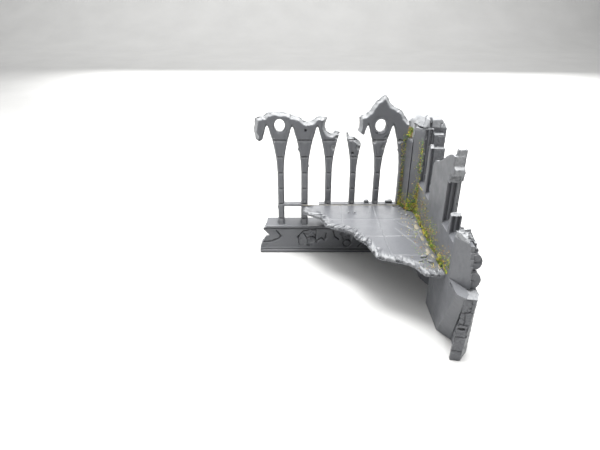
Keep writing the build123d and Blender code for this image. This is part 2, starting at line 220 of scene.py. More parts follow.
def noise(p, size, seed):
    """Smooth noise from -1 to 1 whose lumps are about size across."""
    grid = table(seed)[..., 0]
    q = p / size
    cell = np.floor(q).astype(int)
    f = q - cell
    f = f * f * (3 - 2 * f)
    total = np.zeros(len(p))
    for dx in (0, 1):
        wx = f[:, 0] if dx else 1 - f[:, 0]
        for dy in (0, 1):
            wy = f[:, 1] if dy else 1 - f[:, 1]
            for dz in (0, 1):
                wz = f[:, 2] if dz else 1 - f[:, 2]
                corner = (cell + (dx, dy, dz)) % CELLS
                total += wx * wy * wz * grid[corner[:, 0], corner[:, 1], corner[:, 2]]
    return total * 2 - 1


def facets(p, size, seed):
    """Broken-stone facets: (a level from -1 to 1 that is flat on each facet, nearness to a crack)."""
    grid = table(seed, 7)
    q = p / size
    cell = np.floor(q).astype(int)
    nearest = np.full(len(p), 9.0)
    second = np.full(len(p), 9.0)
    level = np.zeros(len(p))
    for dx in (-1, 0, 1):
        for dy in (-1, 0, 1):
            for dz in (-1, 0, 1):
                here = cell + (dx, dy, dz)
                wrapped = here % CELLS
                values = grid[wrapped[:, 0], wrapped[:, 1], wrapped[:, 2]]
                away = q - here - values[:, :3]
                distance = np.sqrt((away**2).sum(1))
                slope = (away * (values[:, 3:6] * 2 - 1)).sum(1)
                closer = distance < nearest
                second = np.where(closer, nearest, np.minimum(second, distance))
                level = np.where(closer, values[:, 6] * 1.2 - 0.6 + slope * 1.1, level)
                nearest = np.where(closer, distance, nearest)
    return np.clip(level, -1, 1), second - nearest


def smooth(x, low, high):
    """0 below low, 1 above high, and a smooth step between."""
    t = np.clip((x - low) / (high - low), 0, 1)
    return t * t * (3 - 2 * t)


def between(values, limits):
    """Whether values are between two limits."""
    return (values > limits[0]) & (values < limits[1])


def groove(distance, half):
    """1 in the middle of a groove of that half width, falling to 0 at its sides."""
    return 1 - smooth(np.abs(distance), half * 0.35, half)


def line_distance(u, v, a, b):
    """Distance of points (u, v) from the straight piece a to b."""
    a = np.array(a, float)
    along = np.array(b, float) - a
    t = np.clip(((u - a[0]) * along[0] + (v - a[1]) * along[1]) / (along @ along), 0, 1)
    return np.hypot(u - a[0] - t * along[0], v - a[1] - t * along[1])


def path_distance(u, v, points):
    """Distance of points (u, v) from a line through the given points."""
    pairs = zip(points, points[1:])
    return np.min([line_distance(u, v, a, b) for a, b in pairs], axis=0)


def inside(u, v, points):
    """Whether points (u, v) are inside a polygon."""
    result = np.zeros(len(u), bool)
    for (x1, y1), (x2, y2) in zip(points, points[1:] + points[:1]):
        if y1 != y2:
            crosses = (y1 > v) != (y2 > v)
            result ^= crosses & (u < (x2 - x1) * (v - y1) / (y2 - y1) + x1)
    return result


# ------------ meshes


def add_object(name, mesh):
    """A new object in the scene."""
    obj = bpy.data.objects.new(name, mesh)
    bpy.context.scene.collection.objects.link(obj)
    return obj


def apply_modifiers(obj):
    """Replaces obj's mesh by the one its modifiers make."""
    graph = bpy.context.evaluated_depsgraph_get()
    made = bpy.data.meshes.new_from_object(obj.evaluated_get(graph))
    obj.modifiers.clear()
    obj.data = made


def welded_copy(node):
    """The CAD node's mesh with its split edges joined again."""
    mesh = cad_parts[node].data.copy()
    bm = bmesh.new()
    bm.from_mesh(mesh)
    bmesh.ops.remove_doubles(bm, verts=bm.verts, dist=0.00001)
    bm.to_mesh(mesh)
    bm.free()
    mesh.materials.clear()
    return mesh


def read(mesh):
    """(vertex places in mm, vertex normals)"""
    places = np.empty(len(mesh.vertices) * 3, np.float32)
    mesh.vertices.foreach_get("co", places)
    normals = np.empty(len(mesh.vertices) * 3, np.float32)
    mesh.vertices.foreach_get("normal", normals)
    return places.reshape(-1, 3).astype(float) / MM, normals.reshape(-1, 3).astype(float)


def write(mesh, places):
    """Moves the vertices to places in mm."""
    mesh.vertices.foreach_set("co", (places * MM).astype(np.float32).ravel())
    mesh.update()


def store_chips_and_painted_light(mesh, values):
    """Keeps for the material how broken or pale (up to 1) each place is, and how much painted shade
    it gets (down to -1); some of the pale end is painted light.
    """
    layer = mesh.attributes.new("chipped", "FLOAT", "POINT")
    layer.data.foreach_set("value", np.clip(values, -1, 1).astype(np.float32))


def show(obj, node):
    """Lets obj stand for a CAD node, as a part of the one body."""
    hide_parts(node)
    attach(obj, "root")


def carved(name, node, cell, shape, keep):
    """A fine mesh of a CAD node, carved by shape(places, normals) -> (new places, chips with painted
    light and shade).

    The mesh has cells of that size in mm, and keeps that share of its faces once it is carved.
    """
    obj = add_object(name, welded_copy(node))
    remesh = obj.modifiers.new("cells", "REMESH")
    remesh.mode = "VOXEL"
    remesh.voxel_size = cell * MM
    apply_modifiers(obj)
    places, normals = read(obj.data)
    moved, chipped = shape(places, normals)
    low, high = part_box(node)
    moved = np.clip(moved, np.array(low) / MM, np.array(high) / MM)
    write(obj.data, moved)
    store_chips_and_painted_light(obj.data, chipped)
    decimate = obj.modifiers.new("fewer", "DECIMATE")
    decimate.ratio = keep
    apply_modifiers(obj)
    obj.data.shade_smooth()
    obj.data.set_sharp_from_angle(angle=math.radians(CARVED_CREASE))
    obj.data.materials.clear()
    obj.data.materials.append(MATERIALS["grey_plastic"])
    show(obj, node)


# ------------ materials


class Nodes:
    """Short calls for building a material's node tree."""

    def __init__(self, name):
        self.material = bpy.data.materials.new(name)
        self.material.use_nodes = True
        self.tree = self.material.node_tree
        self.shader = self.tree.nodes["Principled BSDF"]

    def add(self, kind, **values):
        node = self.tree.nodes.new(kind)
        for key, value in values.items():
            setattr(node, key, value)
        return node

    def link(self, source, target):
        self.tree.links.new(source, target)

    def place(self):
        return self.add("ShaderNodeTexCoord").outputs["Object"]

    def noise(self, place, scale, detail=3.0):
        node = self.add("ShaderNodeTexNoise")
        node.inputs["Scale"].default_value = scale
        node.inputs["Detail"].default_value = detail
        node.inputs["Roughness"].default_value = 0.55
        self.link(place, node.inputs["Vector"])
        return node.outputs["Fac"]

    def spread(self, value, low, high, to_low, to_high):
        node = self.add("ShaderNodeMapRange")
        node.inputs["From Min"].default_value = low
        node.inputs["From Max"].default_value = high
        node.inputs["To Min"].default_value = to_low
        node.inputs["To Max"].default_value = to_high
        self.link(value, node.inputs["Value"])
        return node.outputs["Result"]

    def maths(self, operation, a, b):
        node = self.add("ShaderNodeMath", operation=operation)
        for socket, value in zip(node.inputs, (a, b)):
            if isinstance(value, (int, float)):
                socket.default_value = value
            else:
                self.link(value, socket)
        return node.outputs["Value"]

    def mix(self, amount, a, b):
        node = self.add("ShaderNodeMix", data_type="RGBA")
        sockets = [s for s in node.inputs if s.enabled]
        for socket, value in zip(sockets, (amount, a, b)):
            if isinstance(value, (int, float)):
                socket.default_value = value
            elif isinstance(value, tuple):
                socket.default_value = (*value, 1.0)
            else:
                self.link(value, socket)
        return [s for s in node.outputs if s.enabled][0]

    def ramp(self, value, stops):
        node = self.add("ShaderNodeValToRGB")
        elements = node.color_ramp.elements
        while len(elements) < len(stops):
            elements.new(0.5)
        for element, (position, colour) in zip(elements, stops):
            element.position = position
            element.color = (*colour, 1.0)
        self.link(value, node.inputs["Fac"])
        return node.outputs["Color"]

    def bump(self, height, strength, distance):
        node = self.add("ShaderNodeBump")
        node.inputs["Strength"].default_value = strength
        node.inputs["Distance"].default_value = distance
        self.link(height, node.inputs["Height"])
        return node.outputs["Normal"]


def plastic_material():
    """Unpainted grey polystyrene: satin, a little cloudy, paler where it is worn or broken, with
    painted shade in hollows, grooves and holes and some painted light on the palest broken faces.
    """
    n = Nodes("grey_plastic")
    place = n.place()
    cloudy = n.noise(place, 38.0, 4.0)
    specks = n.noise(place, 900.0, 2.0)
    colour = n.ramp(cloudy, [(0.3, (0.088, 0.092, 0.102)), (0.7, (0.106, 0.110, 0.120))])
    edge = n.add("ShaderNodeNewGeometry").outputs["Pointiness"]
    worn = n.spread(edge, 0.515, 0.60, 0.0, 0.55)
    colour = n.mix(worn, colour, (0.18, 0.186, 0.196))
    # painted shade: the plastic is darkened in hollows and creases, where shade falls
    hollow = n.spread(edge, 0.485, 0.42, 0.0, 0.35)
    colour = n.mix(hollow, colour, (0.045, 0.046, 0.051))
    state = n.add("ShaderNodeAttribute", attribute_name="chipped").outputs["Fac"]
    broken = n.spread(state, 0.0, 0.8, 0.0, 0.8)
    colour = n.mix(broken, colour, (0.19, 0.196, 0.205))
    # partly pale broken plastic, partly painted light: the most chipped faces, which tilt up to the
    # light, are painted paler still
    colour = n.mix(n.spread(state, 0.7, 1.0, 0.0, 0.8), colour, (0.30, 0.307, 0.316))
    # painted shade: negative values, in grooves, cracks, holes and gaps, are painted near black
    colour = n.mix(n.spread(state, 0.0, -1.0, 0.0, 0.9), colour, (0.022, 0.021, 0.021))
    colour = n.mix(n.spread(specks, 0.35, 0.65, 0.0, 0.12), colour, (0.15, 0.155, 0.165))
    n.link(colour, n.shader.inputs["Base Color"])
    smear = n.noise(place, 120.0, 3.0)
    rough = n.spread(smear, 0.3, 0.7, 0.36, 0.50)
    n.link(n.maths("ADD", rough, n.maths("MULTIPLY", broken, 0.12)), n.shader.inputs["Roughness"])
    n.shader.inputs["IOR"].default_value = 1.55
    n.shader.inputs["Specular IOR Level"].default_value = 0.5
    fine_grain = n.noise(place, 700.0, 2.0)
    coarse_grain = n.maths("MULTIPLY", n.noise(place, 160.0, 3.0), 1.4)
    grain = n.maths("ADD", fine_grain, coarse_grain)
    n.link(n.bump(grain, 0.16, 0.0004), n.shader.inputs["Normal"])
    return n.material


def flock_material():
    """Static grass: each fibre is yellow, green, straw or brown."""
    n = Nodes("grass_flock")
    alone = n.add("ShaderNodeNewGeometry").outputs["Random Per Island"]
    clump = n.add("ShaderNodeTexVoronoi")
    clump.inputs["Scale"].default_value = 520.0
    n.link(n.place(), clump.inputs["Vector"])
    split = n.add("ShaderNodeSeparateColor")
    n.link(clump.outputs["Color"], split.inputs["Color"])
    fibre = n.maths("MULTIPLY", alone, 0.3)
    fibre = n.maths("ADD", fibre, n.maths("MULTIPLY", split.outputs["Red"], 0.7))
    colour = n.ramp(
        fibre,
        [
            (0.0, (0.58, 0.36, 0.03)),
            (0.22, (0.72, 0.60, 0.06)),
            (0.36, (0.34, 0.44, 0.04)),
            (0.48, (0.05, 0.26, 0.04)),
            (0.62, (0.14, 0.20, 0.03)),
            (0.72, (0.32, 0.09, 0.02)),
            (0.86, (0.56, 0.46, 0.24)),
        ],
    )
    shade = n.noise(n.place(), 800.0, 2.0)
    colour = n.mix(n.spread(shade, 0.3, 0.7, 0.0, 0.25), colour, (0.12, 0.10, 0.02))
    n.link(colour, n.shader.inputs["Base Color"])
    n.link(n.spread(shade, 0.3, 0.7, 0.6, 0.8), n.shader.inputs["Roughness"])
    n.shader.inputs["Sheen Weight"].default_value = 0.2
    return n.material


def glue_material():
    """Dried craft glue: beige, dusty where the flock stuck to it."""
    n = Nodes("dried_glue")
    place = n.place()
    cloudy = n.noise(place, 260.0, 4.0)
    colour = n.ramp(cloudy, [(0.3, (0.20, 0.18, 0.135)), (0.7, (0.27, 0.245, 0.195))])
    stain = n.spread(n.noise(place, 90.0, 3.0), 0.5, 0.7, 0.0, 0.6)
    colour = n.mix(stain, colour, (0.19, 0.16, 0.07))
    n.link(colour, n.shader.inputs["Base Color"])
    n.link(n.spread(n.noise(place, 500.0, 2.0), 0.3, 0.7, 0.35, 0.55), n.shader.inputs["Roughness"])
    n.link(n.bump(n.noise(place, 600.0, 3.0), 0.3, 0.0004), n.shader.inputs["Normal"])
    n.shader.inputs["Coat Weight"].default_value = 0.1
    return n.material


def paper_material():
    """The white sheet that the model stands on."""
    n = Nodes("paper")
    place = n.place()
    cloudy = n.noise(place, 9.0, 3.0)
    colour = n.ramp(cloudy, [(0.3, (0.56, 0.56, 0.555)), (0.7, (0.60, 0.60, 0.595))])
    n.link(colour, n.shader.inputs["Base Color"])
    n.link(n.spread(n.noise(place, 60.0, 2.0), 0.3, 0.7, 0.75, 0.9), n.shader.inputs["Roughness"])
    return n.material


MATERIALS = {
    "grey_plastic": plastic_material(),
    "grass_flock": flock_material(),
    "dried_glue": glue_material(),
    "paper": paper_material(),
}


# ------------ window wall


def lancet_distance(x, z):
    """Distance from the nearest side of a lancet."""
    best = np.full(len(x), 99.0)
    for index in range(LANCETS):
        middle = FIRST_MULLION - BAY * index + BAY / 2
        across = np.abs(x - middle)
        straight = np.abs(across - LANCET_HALF)
        reach = LANCET_RADIUS - LANCET_HALF
        curved = np.abs(np.hypot(across + reach, z - SPRING) - LANCET_RADIUS)
        best = np.minimum(best, np.where(z > SPRING, curved, straight))
    return best


def oculus_distance(x, z):
    """Distance from the nearest edge of an oculus."""
    best = np.full(len(x), 99.0)
    for index in OCULUS_MULLIONS:
        middle = FIRST_MULLION - BAY * index
        oval = np.hypot(x - middle, (z - OCULUS_Z) * OCULUS_HALF[0] / OCULUS_HALF[1])
        best = np.minimum(best, np.abs(oval - OCULUS_HALF[0]))
    return best


def rim_distance(places, is_rim, limit):
    """Distance of every place from the nearest rim place, up to limit."""
    rim = places[is_rim]
    tree = KDTree(len(rim))
    for index, place in enumerate(rim):
        tree.insert(place, index)
    tree.balance()
    result = np.full(len(places), limit)
    low, high = rim.min(0) - limit, rim.max(0) + limit
    near = np.all((places > low) & (places < high), axis=1)
    for index in np.nonzero(near)[0]:
        result[index] = min(limit, tree.find(places[index])[2])
    return result


def chip_tops(p, n, out, level, arch, ring):
    """Slopes a chipped band to the front along the broken tops: (how chipped, whether broken)."""
    x, y, z = p.T
    is_rim = (np.abs(n[:, 1]) < 0.5) & (z > TOPS_FROM) & (x < POST_X)
    is_rim &= (arch > 0.9) & (ring > 1.6)
    upward = is_rim & (n[:, 2] > -0.2)
    near = rim_distance(p, upward, 5.0)
    fine, _ = facets(p, 1.1, 4)
    width = 2.8 + 0.8 * noise(p, 4.0, 5) + 0.4 * level
    chip = np.clip((width - near) / width, 0, 1) * (z > CHIPS_FROM)
    bite = chip * (2.9 + 0.5 * level + 0.3 * fine)
    out[:, 1] = np.where(chip > 0, np.clip(y, bite, WALL_DEEP - 0.25 * bite), y)
    edge_bite = np.where(is_rim, 0.05 + 0.3 * level + 0.15 * fine, 0)
    out -= n * edge_bite[:, None]
    return smooth(chip, 0.0, 0.25), is_rim


def cut_joints(p, n, out, chip, arch, ring):
    """Cuts mortar joints in the mullions and lines round the arches: (painted shade in the joints, a
    painted highlight under each joint).
    """
    x, y, z = p.T
    above = z > SILL_TOP + 0.6
    face = np.abs(n[:, 1])
    wobble = 0.12 * noise(p, 5.0, 6)
    joint = np.zeros(len(p))
    for step in range(JOINT_ROWS):
        joint = np.maximum(joint, groove(z - FIRST_COURSE - COURSE * step + wobble, 0.8))
    joint *= above * (z < JOINTS_TO) * (y < WALL_DEEP + 0.3) * (0.2 + 0.8 * smooth(face, 0.4, 0.8))
    # a shallow line follows each arch, and one goes round the oculus nearest the corner
    follow = groove(arch - 2.5, 0.5) * between(z, ARCH_LINES) * smooth(face, 0.5, 0.9)
    round_ring = groove(ring - 2.0, 0.5) * (ring < 5) * smooth(face, 0.5, 0.9)
    round_ring *= np.hypot(x - FIRST_MULLION, z - OCULUS_Z) < 14
    depth = 0.8 * joint + 0.25 * follow * (1 - chip) + 0.3 * round_ring * (1 - chip)
    out -= n * depth[:, None]
    # the flanks of the mullions stand a little proud
    flank = above * (z < 120) * smooth(np.abs(n[:, 0]), 0.5, 0.9) * (1 - joint)
    out[:, 0] += 0.25 * np.sign(n[:, 0]) * flank
    # painted highlight: a pale line along the lower lip of each joint, where light from above falls
    worn = groove(((z - FIRST_COURSE + COURSE / 2) % COURSE) - COURSE / 2 + 1.3, 0.7)
    worn *= above * (z < JOINTS_TO) * (z > FIRST_COURSE - 3) * smooth(face, 0.4, 0.8)
    return joint * smooth(face, 0.4, 0.8), worn


def knock_stones(p, n, out):
    """Knocks holes in the stones and leaves nubs on the mullions: how much painted shade each hole
    gets.
    """
    x, y, z = p.T
    painted_shade = np.zeros(len(p))
    for hole_x, hole_z, size in KNOCKS:
        dent = 1 - smooth(np.hypot(x - hole_x, z - hole_z), size * 0.4, size)
        out[:, 1] += 1.6 * dent * (n[:, 1] < -0.4)
        painted_shade = np.maximum(painted_shade, dent)
    for nub_x, nub_z in NUBS:
        nub = np.exp(-((x - nub_x) ** 2 + (z - nub_z) ** 2) / 1.6) * (np.abs(n[:, 0]) > 0.4)
        out[:, 0] += np.sign(n[:, 0]) * 1.0 * nub * (y < 3.5)
    return painted_shade


def crack_render(p, n, out):
    """Cracked render, a boss and mouldings on the parapet's front: (painted shade in the cracks and
    grooves, wear and painted highlights).
    """
    x, y, z = p.T
    front = (y < 1.0) & between(z, RENDER) & (n[:, 1] < -0.6)
    facing = (y < 1.0) & (n[:, 1] < -0.2)
    rough, _ = facets(p, 4.2, 7)
    fallen = np.where(inside(x, z, FALLEN_PATCH), 1.0 + 0.55 * rough, 0)
    scarred = inside(x + 0.8 * noise(p, 2.0, 10), z, SCAR)
    fallen = np.where(scarred, 0.6 + 0.5 * rough, fallen)
    fallen = np.where(inside(x, z, FOOT_SCAR), 0.4 + 0.5 * rough, fallen)
    fallen = np.where(inside(x, z, SUNK_END), 0.35 + 0.15 * rough, fallen)
    wander = 0.4 * noise(p, 3.0, 8)
    crack = np.zeros(len(p))
    for points in CRACKS:
        away = path_distance(x + wander, z - wander, points)
        crack = np.maximum(crack, groove(away, 0.85))
    ring_cut = groove(np.hypot(x - BOSS[0], z - BOSS[1]) - BOSS_RADIUS, 0.8)
    under_sill = groove(z - 26.2, 1.0) * facing
    mould = groove(z - 3.5, 0.7) * facing
    out[:, 1] += front * (fallen + 1.1 * crack + 1.0 * ring_cut)
    out[:, 1] += 0.7 * under_sill + 0.5 * mould
    # painted shade: the cracks, the ring round the boss and the grooves under the sill and in the
    # moulding are painted dark
    cut = front * np.maximum(crack, ring_cut) * 0.8
    painted_shade = np.maximum(cut, np.maximum(under_sill * 0.6, mould * 0.8))
    scratch = groove(path_distance(x, z, SCRATCH), 0.9) * front
    # painted highlight: pale lines along the lips either side of the moulding groove
    string = groove(z - 5.0, 0.7) + groove(z - 2.1, 0.7)
    worn = np.maximum(scratch * 1.4, string * (y < 1.0) * (n[:, 1] < 0.2) * 0.9)
    worn = np.maximum(worn, front * (fallen > 0.3) * groove(rough - 0.35, 0.3) * 0.5)
    return painted_shade, worn


def roughen_back(p, n, out, level):
    """Rough stones on the parapet's back and broken end: where the end is."""
    x, y, z = p.T
    back = (y > 8.0) & (z < PARAPET_TO) & (n[:, 1] > 0.6)
    row = np.floor(z / BACK_COURSE)
    stagger = np.where(row % 2 > 0, 0.0, BACK_STONE / 2)
    upright = groove((x + stagger) % BACK_STONE - BACK_STONE / 2, 0.6)
    bed = groove((z % BACK_COURSE) - BACK_COURSE / 2, 0.6)
    stone = 0.16 * (1 + noise(p, 2.4, 9))
    out[:, 1] -= back * (0.4 * np.maximum(upright, bed) + stone)
    end = (x < BROKEN_END_X) & (z < PARAPET_TO) & (n[:, 0] < -0.4)
    out[:, 0] += end * (0.35 + 0.35 * level)
    return end


def roughen_rail(p, n, out, level, arch):
    """Ragged underside of what is left of the cross rail, and its rubble: where the rubble is."""
    x, _, z = p.T
    rail = between(z, RAIL) & (x > RAIL_END_X) & (arch > 1.0)
    out[:, 2] += rail * (n[:, 2] < -0.5) * (0.45 + 0.45 * level)
    lump = rail & (z > RAIL_RUBBLE_FROM)
    out -= n * (lump * (0.25 + 0.25 * level))[:, None]
    return lump


def window_wall(p, n):
    """The pierced wall: broken tops, mullions with mortar joints, cracked parapet, broken rail."""
    out = p.copy()
    arch = lancet_distance(p[:, 0], p[:, 2])
    ring = oculus_distance(p[:, 0], p[:, 2])
    level, _ = facets(p, 2.6, 3)
    chip, is_rim = chip_tops(p, n, out, level, arch, ring)
    joint_shade, joint_lip_highlight = cut_joints(p, n, out, chip, arch, ring)
    knock_shade = knock_stones(p, n, out)
    render_shade, render_wear_and_highlight = crack_render(p, n, out)
    end = roughen_back(p, n, out, level)
    lump = roughen_rail(p, n, out, level, arch)
    # painted shade: joints, knocked holes, cracks and grooves are painted dark
    painted_shade = np.max([joint_shade, knock_shade, render_shade], axis=0)
    # wear, and painted highlights on the lips of the joints and the moulding
    worn = np.maximum(joint_lip_highlight, render_wear_and_highlight)
    pale = [np.clip(chip * 1.1, 0, 1), is_rim * 1.0, end * 0.6, lump * 0.8, worn * 0.55]
    return out, np.where(painted_shade > 0.25, -painted_shade * 0.8, np.max(pale, axis=0))


# ------------ corner and side wall


def courses(along, z):
    """Joints of a stone wall in staggered courses: 1 in a joint."""
    row = np.floor(z / COURSE)
    shifted = along + np.where(row % 2 > 0, STONE_LONG / 2, 0.0)
    upright = groove(shifted % STONE_LONG - STONE_LONG / 2, JOINT_HALF)
    bed = groove(z % COURSE - COURSE / 2, JOINT_HALF)
    return np.maximum(upright, bed)


def post(p, n):
    """Half of the corner pilaster: faint joints, scraped down its length, broken on top."""
    z = p[:, 2]
    out = p.copy()
    level, _ = facets(p, 2.4, 11)
    top = smooth(z, z.max() - 3.2, z.max() - 0.6)
    side = np.abs(n[:, 2]) < 0.6
    scrape = 0.08 * noise(p * (1, 1, 0.15), 1.2, 12)
    joint = sum(groove(z - height, 0.5) for height in POST_JOINTS)
    out -= n * (side * (0.12 * joint + np.clip(scrape, 0, 1)) * (1 - top))[:, None]
    out -= n * (top * (0.4 + 0.4 * level))[:, None]
    return out, top * 0.8


def buttress(p, n):
    """The corner mass: a cleft cap of rubble, a stepped broken leaf and coursed outer faces."""
    x, y, z = p.T
    out = p.copy()
    level, _ = facets(p, 7.5, 21)
    fine, _ = facets(p, 2.2, 22)
    low_cap = smooth(z, LOW_CAP_FROM, LOW_CAP_FROM + 1.3) * (x < -2) * (y > -8)
    cap = np.maximum(smooth(z, CAP_FROM, CAP_FROM + 1.6), low_cap)
    rough = cap * (0.16 + 0.26 * level + 0.10 * fine)
    wander = 0.5 * noise(p, 2.5, 25)
    split = np.zeros(len(p))
    for points in CAP_SPLITS:
        split = np.maximum(split, groove(path_distance(x + wander, y - wander, points), 0.6))
    out -= n * (rough + 0.6 * split * cap)[:, None]
    # a cleft between the two lobes of the cap
    cleft = groove(path_distance(x, y, CAP_CLEFT), 1.2) * cap
    out[:, 2] -= 2.4 * cleft * (n[:, 2] > 0.2)
    out[:, 1] += 2.2 * cleft * (n[:, 1] < -0.4)
    # the stepped leaf: tops worn to a slope that faces outwards
    leaf = (y < LEAF_Y) & between(z, LEAF)
    lip = leaf * smooth(n[:, 2], 0.3, 0.8)
    behind = np.where(z > LEAF_STEP, -14.5, -20.0)
    out[:, 2] -= lip * (0.3 * np.clip(behind - y, 0, 6) + 0.25 + 0.25 * fine)
    face = leaf & (n[:, 1] < -0.5)
    out[:, 1] += face * (0.3 + 0.3 * fine)
    # outer faces: stone courses with small pits
    outer = (n[:, 0] > 0.7) & (x > 16) | (n[:, 1] > 0.7) & (y > 16)
    outer &= (z > PLINTH_TOP) & (z < CAP_FROM)
    joint = courses(np.where(n[:, 0] > 0.7, y, x), z)
    pits = np.clip(noise(p, 1.6, 23) - 0.45, 0, 1) * 0.7
    out -= n * (outer * (0.45 * joint + 0.12 * (1 + noise(p, 3.5, 24)) + pits))[:, None]
    # the broken cap is paler; painted light: the upward faces of the stepped leaf are painted pale as
    # lit tops
    state = np.maximum(cap * np.where(x < -3, 0.95, 0.8), np.where(lip > 0.5, 0.8, 0.0))
    # painted shade: the splits and the cleft in the cap are painted dark
    recess_shade = np.maximum(split * 0.5, cleft) * cap
    return out, np.where(recess_shade > 0.3, -0.5 * recess_shade, state)


def side_wall(p, n):
    """The broken upper side wall: chipped outline, moulded reveals, bedded stones, rubble."""
    x, y, z = p.T
    out = p.copy()
    flat = np.abs(n[:, 0]) > 0.8
    inner = (n[:, 0] < -0.8) & (x < 1.0)
    outer = (n[:, 0] > 0.8) & (x > 6.5)
    level, _ = facets(p, 2.8, 31)
    fine, _ = facets(p, 1.1, 32)
    # broken outline: everything that is not a side of an opening
    broken = (np.abs(n[:, 0]) < 0.5) & (z > OUTLINE_FROM)
    jamb = np.any([np.abs(y - middle) < half for middle, half in JAMBS], axis=0)
    broken &= ~(jamb & (np.abs(n[:, 1]) > 0.8))
    near = rim_distance(p, broken, 4.0)
    width = 1.3 + 0.8 * noise(p, 3.0, 33)
    chip = 1 - smooth(near, 0.1, np.maximum(width, 0.4))
    out[:, 0] -= np.sign(n[:, 0]) * (flat * chip * (0.4 + 0.3 * level + 0.15 * fine))
    out -= n * (broken * np.clip(0.4 + 0.35 * level + 0.2 * fine, 0, 1))[:, None]
    # moulded profile on the reveals that face out of the corner: two hollows between fillets
    reveal = (n[:, 1] < -0.85) & between(z, REVEALS) & ~broken
    hollow = smooth(x, 0.9, 1.3) * (1 - smooth(x, 2.9, 3.3))
    hollow += smooth(x, 4.3, 4.7) * (1 - smooth(x, 6.4, 6.8))
    out[:, 1] += reveal * 1.8 * hollow
    # a scratch and faint casting marks on the smooth inner face
    scratch = groove(path_distance(y, z, [(-27.5, 70), (-35, 62)]), 0.4)
    swirl = 0.05 * noise(p * (1, 0.4, 1), 5.0, 34)
    out[:, 0] += inner * (0.3 * scratch + np.clip(swirl, 0, 1))
    # outer face: stone courses
    joint = courses(y, z)
    stone = 0.10 * (1 + noise(p, 3.5, 35))
    out[:, 0] -= outer * (0.42 * joint + stone)
    # oblique broken end, filled out to the stones that are bedded on it
    end = (y < WALL_END_Y) & (n[:, 1] < -0.3) & (x > 0.3)
    out -= n * (end * (0.12 + 0.12 * noise(p, 2.0, 36)))[:, None]
    bedded = (y < BEDDED_Y) & between(z, BEDDED) & (n[:, 0] > 0.4)
    out[:, 0] = np.where(bedded, np.maximum(out[:, 0], BED_DEEP), out[:, 0])
    # rubble on top of the end, with the hole of a bolt
    rubble = (y < RUBBLE_Y) & (z > RUBBLE_FROM)
    lumps, split = facets(p, 3.6, 37)
    out -= n * (rubble * (0.2 + 0.3 * lumps + 0.2 * (1 - smooth(split, 0.02, 0.14))))[:, None]
    hole_x, hole_y, hole_z = BOLT_HOLE
    hole = np.hypot(np.hypot(x - hole_x, y - hole_y), (z - hole_z) * 0.7)
    out[:, 2] -= 1.5 * (1 - smooth(hole, 0.6, 1.5)) * rubble
    chipped = np.maximum(flat * chip * 0.8, broken * 0.9)
    state = np.maximum(chipped, rubble * 0.86)
    # painted shade: the bolt hole is painted dark
    return out, np.where((hole < 1.6) & rubble, -0.8, state)


def base_panel(p, n):
    """The outer leaf of the base: stone courses outside, worn on top."""
    x, y, z = p.T
    out = p.copy()
    outer = (n[:, 0] > 0.7) & (x > 13) & (z > PLINTH_TOP)
    joint = courses(y, z)
    stone = 0.12 * (1 + noise(p, 3.5, 41))
    pits = np.clip(noise(p, 1.8, 42) - 0.5, 0, 1) * 0.8
    out[:, 0] -= outer * (0.42 * joint + stone + pits)
    inner = (n[:, 0] < -0.7) & (x < 9)
    out[:, 0] += inner * np.clip(0.08 * noise(p, 4.0, 43), 0, 1)
    level, _ = facets(p, 2.4, 44)
    top = (n[:, 2] > 0.7) & (z > BASE_TOPS_FROM)
    out[:, 2] -= top * (0.15 + 0.15 * level)
    return out, top * 0.4


def inner_board(p, n):
    """The smooth inner leaf: faint casting marks, a knock and a worn top."""
    x, y, z = p.T
    out = p.copy()
    level, _ = facets(p, 2.2, 51)
    top = (n[:, 2] > 0.6) & (z > BASE_TOPS_FROM)
    out[:, 2] -= top * (0.12 + 0.12 * level)
    slot = (np.abs(y + 133.5) < 3.2) & (x < 1.6) & between(z, (49.9, 51.8))
    out[:, 0] += slot * (n[:, 0] < -0.5) * 1.3
    face = (n[:, 0] < -0.5) & (x < 1.5)
    streak = 0.06 * noise(p * (1, 0.3, 1), 3.0, 52)
    out[:, 0] += face * np.clip(streak, 0, 1)
    knock = np.hypot(y + 96, z - 24) < 1.6
    out[:, 0] += face * knock * 0.2
    end = (y < BOARD_END_Y) & (n[:, 1] < -0.3)
    out -= n * (end * (0.10 * noise(p, 2.4, 53) - 0.25))[:, None]
    return out, top * 0.3


